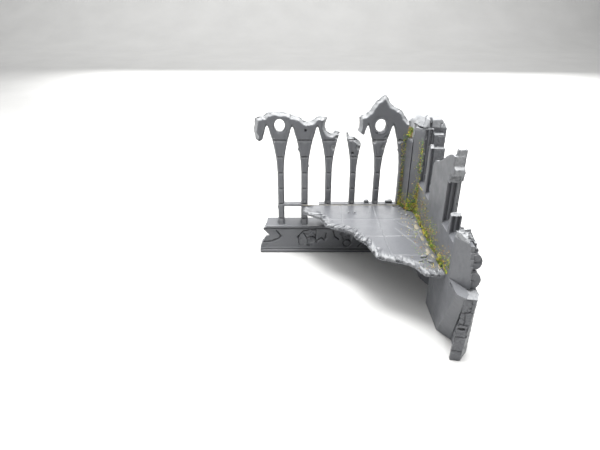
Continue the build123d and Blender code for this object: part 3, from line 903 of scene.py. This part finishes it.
def pier(p, n):
    """The end pier: rough brickwork on its front with painted shade, coursed side, worn top, and a
    painted highlight on its outer arris.
    """
    x, y, z = p.T
    out = p.copy()
    front = (n[:, 1] < -0.35) & (z < PIER_FRONT_TO)
    level, _ = facets(p, 3.0, 61)
    fine, _ = facets(p, 1.5, 62)
    worn = 1 + 1.2 * between(z, (20, 40))
    rough = front * (0.25 + 0.22 * level + 0.14 * fine * worn)
    slant = 0.5 * noise(p, 4.0, 63)
    joints = np.zeros(len(p))
    for height in PIER_JOINTS:
        joints = np.maximum(joints, groove(z - height + slant, 0.8))
    course = np.floor((z - PIER_JOINTS[0]) / 10.8)
    split_x = np.where(course % 2 > 0, 9.3, 6.3)
    upright = groove(x - split_x + 0.4 * noise(p, 3.0, 64), 0.7) * (z > 20)
    gap = np.hypot((x - 5.5) * 0.5, z - 27.5) < 1.1
    ring = groove(np.hypot(x - 8.6, z - 43.5) - 1.5, 0.55)
    out[:, 1] += front * (0.75 * joints + 0.6 * upright + 1.2 * gap + 0.7 * ring) + rough
    left = (n[:, 0] < -0.5) & (y < -134)
    out[:, 0] -= left * (0.7 + 0.3 * level)
    side = (n[:, 0] > 0.6) & (z > PLINTH_TOP)
    out[:, 0] -= side * (0.42 * courses(y, z) + 0.15 * (1 + level))
    top = (n[:, 2] > 0.5) & (z > BASE_TOPS_FROM)
    out[:, 2] -= top * (0.5 + 0.5 * level)
    # painted highlight: the outer faces near the front are painted pale
    painted_arris_highlight = smooth(n[:, 0], 0.3, 0.7) * (y < -140) * 0.92
    state = np.maximum(np.maximum(top * 0.82, painted_arris_highlight), front * 0.25 * (fine > 0.4))
    # painted shade: the rest of the front is painted a little darker
    state = np.where(front & (state < 0.2) & (painted_arris_highlight < 0.1), -0.12, state)
    # painted shade: the joints and the gap in the front are painted dark
    recess_shade = front * np.maximum(np.maximum(joints, upright) * 0.35, gap * 0.7)
    return out, np.where(recess_shade > 0.15, -recess_shade, np.where(ring * front > 0.5, 0.7, state))


def stones(p, n):
    """Rounded stones on the outside of the broken end, with beds between them."""
    z = p[:, 2]
    out = p.copy()
    level, _ = facets(p, 2.6, 71)
    fine, _ = facets(p, 1.2, 72)
    rough = 0.16 + 0.14 * level + 0.08 * fine
    bed = groove(z - 66.0, 0.9) + groove(z - 78.5, 0.6) + groove(z - 81.0, 0.5)
    bed = np.clip(bed, 0, 1)
    out -= n * (rough + 0.7 * bed * (np.abs(n[:, 2]) < 0.8))[:, None]
    pit = smooth(noise(p, 2.2, 73), 0.35, 0.7) * (n[:, 1] < -0.5)
    out[:, 1] += 0.5 * pit
    # painted light: every upward face is painted pale; painted shade: the beds and the pits are
    # painted dark
    top = smooth(n[:, 2], 0.25, 0.7) * 0.82
    return out, np.where(bed > 0.5, -0.5, np.where(pit > 0.4, -0.2, top))


# ------------ floor


def slab_joints(p):
    """1 in the joints between the floor's slabs and in a crack."""
    x, y, _ = p.T
    crack = path_distance(x + 0.7 * noise(p, 4.0, 85), y, FLOOR_CRACK)
    joints = [groove(path_distance(x, y, points), 0.6) for points in SLAB_JOINTS]
    return np.max([groove(crack, 0.7), *joints], axis=0)


def scrapes(p):
    """1 in the pale scrapes on the floor."""
    x, y, _ = p.T
    long = groove(path_distance(x, y, LONG_SCRAPE), 0.7)
    return np.maximum(long, groove(path_distance(x, y, FINE_SCRAPE), 0.5))


def gallery(p, n):
    """The floor plate: a torn fringe of chisel marks, slab joints, scrapes, a ribbed underside."""
    x, y, _ = p.T
    out = p.copy()
    # the jagged edge, but not where the floor meets the walls
    is_edge = (np.abs(n[:, 2]) < 0.5) & (y < -0.9) & (x < -0.9) & ~((x > -8) & (y > -16.5))
    edge = rim_distance(p, is_edge, 11.0)
    bearing = np.arctan2(y - FLOOR_MIDDLE[1], x - FLOOR_MIDDLE[0])
    away = np.hypot(x - FLOOR_MIDDLE[0], y - FLOOR_MIDDLE[1])
    # chisel marks run outwards from the middle of the floor
    fan = np.column_stack([bearing * 72 + 0.8 * noise(p, 5.0, 80), away * 0.2, away * 0])
    mark = np.clip(2.3 * noise(fan, 1.6, 81), -1, 1)
    fine_mark = np.clip(1.8 * noise(fan * (1, 1.6, 1), 0.85, 82), -1, 1)
    fringe_wide = 8.6 + 3.0 * noise(p, 6.0, 83) + 1.2 * mark
    fringe = 1 - smooth(edge, fringe_wide * 0.45, fringe_wide)
    outer = 1 - smooth(edge, 0.0, 2.6)
    top = smooth(n[:, 2], 0.3, 0.8)
    level, _ = facets(p, 2.2, 84)
    chisel = fringe * (0.52 + 0.55 * mark + 0.35 * fine_mark + 0.12 * level)
    slope = 0.95 * outer
    out[:, 2] -= top * np.clip(1.35 * chisel + 1.25 * slope, 0, 2.2)
    # notches in the very edge
    pull = (1 - smooth(edge, 0.3, 2.4)) * np.clip(0.8 + 0.9 * mark + 0.9 * fine_mark, 0, 2.4)
    pull *= (x < -3.5) & (y < -3.5) & (n[:, 2] > -0.9)
    out[:, 0] -= np.cos(bearing) * pull
    out[:, 1] -= np.sin(bearing) * pull
    # slab joints and general wear
    joints = slab_joints(p) * (1 - fringe)
    wear = 0.05 * (1 + noise(p, 6.0, 86))
    out[:, 2] -= top * (0.32 * joints + wear)
    # seam along the side wall, where the floor was never glued
    seam = (np.abs(x + 0.4) < 0.9) & between(y, GLUELESS_SEAM)
    out[:, 2] -= top * seam * 1.2
    under = n[:, 2] < -0.7
    rib = groove((y % RIB_STEP) - RIB_STEP / 2, 0.8)
    out[:, 2] += under * (0.25 * rib + 0.1 * (1 + noise(p, 5.0, 87)))
    # the chisel marks are painted darker than what stands between them, as painted shade in the
    # grooves, the ridges between them are paler broken plastic, and dust lies in the slab joints
    streak = fringe * (0.52 - 0.52 * mark - 0.42 * fine_mark) + 0.15 * outer
    worn = streak * top + is_edge * 0.5
    dusty = 0.30 * joints * top
    state = np.where(fringe * top > 0.2, np.clip(worn, -0.3, 0.84), np.maximum(worn, dusty))
    state = np.maximum(state, 0.8 * scrapes(p) * top)
    # painted shade: the unglued seam is painted near black
    return out, np.where(seam * top > 0.5, -1.0, state)


class Builder:
    """Collects closed shapes into one mesh."""

    def __init__(self):
        self.verts = []
        self.faces = []

    def add(self, verts, faces):
        """Adds a shape whose faces number its own vertices from 0."""
        base = len(self.verts)
        self.verts += [tuple(v) for v in verts]
        self.faces += [tuple(base + k for k in face) for face in faces]

    def finish(self, name, node, slot, chipped=0.0, flat=False):
        """Makes the object that stands for a CAD node."""
        mesh = bpy.data.meshes.new(name)
        mesh.from_pydata([tuple(c * MM for c in v) for v in self.verts], [], self.faces)
        mesh.update()
        if not flat:
            mesh.shade_smooth()
            mesh.set_sharp_from_angle(angle=math.radians(LOOSE_CREASE))
            store_chips_and_painted_light(mesh, np.full(len(self.verts), chipped))
        mesh.materials.append(MATERIALS[slot])
        show(add_object(name, mesh), node)


def lathe(centre, profile, spokes, wobble=0.0, stretch=(1, 1), turn=0.0, seed=0):
    """A closed turned shape: rings of (radius, height) from the rim inwards to a point on top."""
    rng = np.random.default_rng(SEED + seed)
    reach = 1 + wobble * np.convolve(rng.normal(0, 1, spokes + 4), np.ones(5) / 2.2, "valid")
    verts = []
    for radius, height in profile[:-1]:
        for k in range(spokes):
            angle = k * 2 * math.pi / spokes
            u = math.cos(angle) * radius * reach[k] * stretch[0]
            v = math.sin(angle) * radius * reach[k] * stretch[1]
            x = centre[0] + u * math.cos(turn) - v * math.sin(turn)
            y = centre[1] + u * math.sin(turn) + v * math.cos(turn)
            verts.append((x, y, centre[2] + height))
    verts.append((centre[0], centre[1], centre[2] + profile[-1][1]))
    faces = [tuple(reversed(range(spokes)))]
    for ring in range(len(profile) - 2):
        for k in range(spokes):
            a, b = ring * spokes + k, ring * spokes + (k + 1) % spokes
            faces.append((a, b, b + spokes, a + spokes))
    last = (len(profile) - 2) * spokes
    top = len(verts) - 1
    faces += [(last + k, last + (k + 1) % spokes, top) for k in range(spokes)]
    return verts, faces


def rock(centre, half, turn, seed):
    """A broken stone lying on the floor."""
    bm = bmesh.new()
    bmesh.ops.create_icosphere(bm, subdivisions=4, radius=1.0)
    places = np.array([v.co for v in bm.verts]) * np.array(half)
    faces = [[v.index for v in f.verts] for f in bm.faces]
    bm.free()
    away = places / np.linalg.norm(places, axis=1)[:, None]
    level, _ = facets(places + seed * 7.3, 1.6, 95)
    places = places + away * (0.28 * level * min(half))[:, None]
    spin = np.array([[math.cos(turn), -math.sin(turn)], [math.sin(turn), math.cos(turn)]])
    places[:, :2] = places[:, :2] @ spin.T
    return places + np.array(centre), faces


def floor_rubble():
    """Two bolts and the rubble on the floor."""
    builder = Builder()
    for index, (x, y) in enumerate(BOLTS_AT):
        builder.add(*lathe((x, y, FLOOR_TOP), BOLT, 18, seed=100 + index))
    for index, ((x, y), half, turn) in enumerate(STONES):
        centre = (x, y, FLOOR_TOP + half[2] * 0.25)
        builder.add(*rock(centre, half, turn, index + 1))
    builder.finish("floor_rubble", "loose_stones", "grey_plastic", chipped=0.6)


def glue_squeeze():
    """Dried glue: low smears along the foot of the side wall and of the window wall."""
    builder = Builder()
    window_smears = [(x, -0.75, 7.0, 0.42, 0.22) for x in (-94, -81, -68, -55, -42, -30, -18)]
    for index, (x, y, wide, long, high) in enumerate(SMEARS + window_smears):
        profile = [(r, h * high if h > 0 else h) for r, h in DOME]
        turn = 0.12 * math.sin(index * 2.4) if wide < long else 0.0
        shape = lathe((x, y, FLOOR_TOP), profile, 28, 0.1, (wide, long), turn, 200 + index)
        builder.add(*shape)
    builder.finish("glue_squeeze", "glue_beads", "dried_glue")


# ------------ flock


def wall_foot(rng, clumps):
    """A root along the foot of the side wall, in a few clumps."""
    y = rng.choice(clumps) + rng.normal(0, 1.6)
    y = min(-15.8, max(-116.0, y))
    rise = min(7.0, rng.exponential(1.3))
    return -0.15 - abs(rng.normal(0, 0.7)), y, FLOOR_TOP + rise


def corner_foot(rng):
    """A root at the foot of the two halves of the corner post."""
    t = rng.random()
    x, y = -10.5 + 4.2 * t, -0.3 - 8.3 * t
    if rng.random() < 0.7:
        t = rng.random()
        x, y = -6.4 + 6.2 * t, -9.0 - 6.6 * t
    off = abs(rng.normal(0, 0.9))
    rise = min(16.0, rng.exponential(4.2))
    return x - off * 0.7, y - off * 0.7, FLOOR_TOP + rise


def corner_up(rng, heights):
    """A root up the inner corner of the post and the side wall."""
    z = FLOOR_TOP + abs(rng.normal(0, 15)) if rng.random() < 0.6 else rng.choice(heights)
    z = min(121.0, z + rng.normal(0, 1.2))
    z = max(FLOOR_TOP + 0.2, z)
    along = rng.exponential(1.8)
    if rng.random() < 0.4:
        return -0.2 - along * 0.6, -15.9 + along * 0.6, z
    return -0.15, -16.0 - along, z


def jamb_up(rng):
    """A root on the jamb of the first lancet."""
    z = FLOOR_TOP + 68 * rng.random() ** 1.5
    return -11.6 + rng.normal(0, 1.3), -0.15, z + rng.normal(0, 0.6)


def post_top(rng):
    """A root in the tuft on top of the left post."""
    t = rng.random()
    return -7.6 + rng.normal(0, 0.9), -3.6 + 4.5 * t, 116.2 + 7 * t + rng.random()


def wall_face(rng):
    """A root in the thin dusting over the inner face of the side wall."""
    y, z, wide, high = DUSTED[rng.integers(len(DUSTED))]
    y, z = y + rng.normal(0, wide), z + abs(rng.normal(0, high)) - 3
    return -0.05, min(-16.2, max(-123.0, y)), max(53.0, min(78.5, z))


def board_ledge(rng):
    """A root in the angle of the ledge under the broken end."""
    t = rng.random()
    return -0.1, -112.0 - 10.0 * t, 52.6 + abs(rng.normal(0, 0.7))


def loose_fibre(rng):
    """A fibre lying on the floor."""
    x, y = -4 - abs(rng.normal(0, 6)), -12 - 100 * rng.random() ** 0.9
    return min(-1.0, x), y, FLOOR_TOP - 0.02


def turned_clear(root, lean):
    """The lean of a fibre, turned away from the floor and the side wall where it is near them."""
    up = abs(lean[2]) if root[2] < FLOOR_TOP + 0.6 else lean[2]
    across = -abs(lean[0]) if root[0] > -3.0 else lean[0]
    clear = np.array([across, lean[1], up])
    return clear / np.linalg.norm(clear)


def fibre(rng, root, lean, long):
    """A tapered, bent fibre of grass: (verts, faces)."""
    side = np.cross(lean, (0.31, 0.52, 0.79))
    side /= np.linalg.norm(side)
    other = np.cross(lean, side)
    thick = rng.uniform(0.15, 0.28)
    bend = rng.normal(0, 0.12, 3) * long
    foot = np.array(root) - lean * 0.15
    turns = [k * 2 * math.pi / FIBRE_SIDES for k in range(FIBRE_SIDES)]
    verts = []
    for share, wide in FIBRE_RINGS:
        at = foot + lean * long * share + bend * share * share
        for turn in turns:
            x, y, z = at + (side * math.cos(turn) + other * math.sin(turn)) * thick * wide
            verts.append((min(x, 0.4), y, max(z, FLOOR_TOP - 0.6)))
    faces = []
    for ring in range(len(FIBRE_RINGS) - 1):
        for k in range(FIBRE_SIDES):
            a = ring * FIBRE_SIDES + k
            b = ring * FIBRE_SIDES + (k + 1) % FIBRE_SIDES
            faces.append((a, b, b + FIBRE_SIDES, a + FIBRE_SIDES))
    faces += [(2, 1, 0), (6, 7, 8)]
    return verts, faces


def flock():
    """Static grass left on the plastic: many short tapered fibres."""
    rng = np.random.default_rng(SEED + 7)
    fibres = []

    def scatter(count, lean, long, place, *spots):
        """Adds count fibres whose roots come from place, about that lean and in that length."""
        for _ in range(count):
            root = place(rng, *spots)
            direction = np.array(lean, float) + rng.normal(0, FIBRE_SPREAD, 3)
            direction = direction / np.linalg.norm(direction)
            fibres.append((root, direction, rng.uniform(*long)))

    scatter(1250, (-0.6, 0, 0.9), (0.7, 1.7), wall_foot, rng.uniform(-112, -16, 26))
    scatter(620, (-0.7, -0.7, 0.4), (0.8, 1.8), corner_foot)
    scatter(950, (-0.8, -0.5, 0.2), (0.6, 1.4), corner_up, rng.uniform(FLOOR_TOP, 118, 30))
    scatter(520, (0, -1, 0.2), (0.5, 1.2), jamb_up)
    scatter(420, (-0.4, -0.6, 0.8), (1.0, 2.0), post_top)
    scatter(800, (-0.7, 0, 0.4), (0.5, 1.2), wall_face)
    scatter(260, (-0.6, 0, 0.8), (0.5, 1.1), board_ledge)
    scatter(230, (0, 0, 0.35), (0.5, 1.0), loose_fibre)
    builder = Builder()
    for root, lean, long in fibres:
        builder.add(*fibre(rng, root, turned_clear(root, lean), long))
    builder.finish("flock", "grass_tufts", "grass_flock", flat=True)


# ------------ pieces

carved("window_wall", "window_wall_panel", 0.55, window_wall, 0.55)
carved("post_left", "corner_post_left", 0.5, post, 0.5)
carved("post_right", "corner_post_right", 0.5, post, 0.5)
carved("corner_mass", "corner_buttress", 0.5, buttress, 0.55)
carved("side_wall", "side_wall_window_panel", 0.5, side_wall, 0.5)
carved("side_base", "side_wall_base_panel", 0.55, base_panel, 0.5)
carved("side_board", "side_wall_inner_board", 0.5, inner_board, 0.5)
carved("end_pier_stone", "end_pier", 0.4, pier, 0.6)
carved("outer_stones", "buttress_stones", 0.4, stones, 0.6)
carved("floor_plate", "gallery_floor", 0.42, gallery, 0.6)
floor_rubble()
glue_squeeze()
flock()


# ------------ floor, light and camera


# The stage, the lights and the camera are in metres.
SWEEP_FRONT = -2.2
SWEEP_Y = 1.5
SWEEP_RADIUS = 0.6
SWEEP_TOP = 1.8
SWEEP_HALF = 2.5
SWEEP_STEPS = 16
SHEET_Z = -0.0001
MODEL = (-0.04, -0.05, 0.03)
BACKDROP = (-0.3, 2.1, 0.12)
WHITE = (1.0, 0.998, 0.99)
LIGHTS = [
    # name, place, aim, size, power in watts
    ("top", (0.0, 0.0, 0.9), MODEL, (0.6, 0.6), 20.5),
    ("top_left", (-0.5, 0.0, 0.8), MODEL, (0.6, 0.6), 3.4),
    ("top_front", (0.0, -0.55, 0.8), MODEL, (1.0, 0.5), 3.6),
    ("left", (-0.9, -0.1, 0.3), MODEL, (0.6, 0.6), 2.8),
    ("low_back", (0.0, 1.0, 0.28), MODEL, (1.4, 0.3), 9.5),
    ("backdrop", (-0.3, 1.35, 1.0), BACKDROP, (2.8, 0.4), 17.0),
]
WORLD_STRENGTH = 0.10
CAMERA_PLACE = (-0.10389, -0.40848, 0.23798)
CAMERA_TILT = 62.95
CAMERA_LENS = 28.81


def add_stage():
    """A sheet of white paper that lies flat under the model and sweeps up behind it."""
    profile = [(SWEEP_FRONT, SHEET_Z), (SWEEP_Y, SHEET_Z)]
    for step in range(1, SWEEP_STEPS + 1):
        turn = step / SWEEP_STEPS * math.pi / 2
        along = SWEEP_Y + SWEEP_RADIUS * math.sin(turn)
        profile.append((along, SWEEP_RADIUS * (1 - math.cos(turn))))
    profile.append((SWEEP_Y + SWEEP_RADIUS, SWEEP_TOP))
    verts = [(x, y, z) for x in (-SWEEP_HALF, SWEEP_HALF) for y, z in profile]
    count = len(profile)
    faces = [(k, k + count, k + count + 1, k + 1) for k in range(count - 1)]
    mesh = bpy.data.meshes.new("paper_sweep")
    mesh.from_pydata(verts, [], faces)
    mesh.shade_smooth()
    mesh.materials.append(MATERIALS["paper"])
    add_object("paper_sweep", mesh)


def add_light(name, place, aim, size, power):
    """A soft rectangular light that faces its aim."""
    light = bpy.data.lights.new(name, "AREA")
    light.shape = "RECTANGLE"
    light.size, light.size_y = size
    light.energy = power
    light.color = WHITE
    obj = bpy.data.objects.new(name, light)
    obj.location = place
    obj.rotation_euler = (Vector(aim) - Vector(place)).to_track_quat("-Z", "Y").to_euler()
    bpy.context.scene.collection.objects.link(obj)


def add_world():
    """Weak light from all round, as in a white room."""
    world = bpy.data.worlds.new("soft_room")
    world.use_nodes = True
    background = world.node_tree.nodes["Background"]
    background.inputs["Color"].default_value = (0.96, 0.97, 1.0, 1.0)
    background.inputs["Strength"].default_value = WORLD_STRENGTH
    bpy.context.scene.world = world


def add_camera():
    """A camera that looks down on the model from in front."""
    data = bpy.data.cameras.new("camera")
    data.lens = CAMERA_LENS
    data.sensor_width = 36.0
    data.clip_start = 0.01
    camera = bpy.data.objects.new("camera", data)
    camera.location = CAMERA_PLACE
    camera.rotation_euler = (math.radians(CAMERA_TILT), 0, 0)
    bpy.context.scene.collection.objects.link(camera)
    bpy.context.scene.camera = camera


add_camera()
add_stage()
for light in LIGHTS:
    add_light(*light)
add_world()
bpy.context.scene.view_settings.view_transform = "Standard"
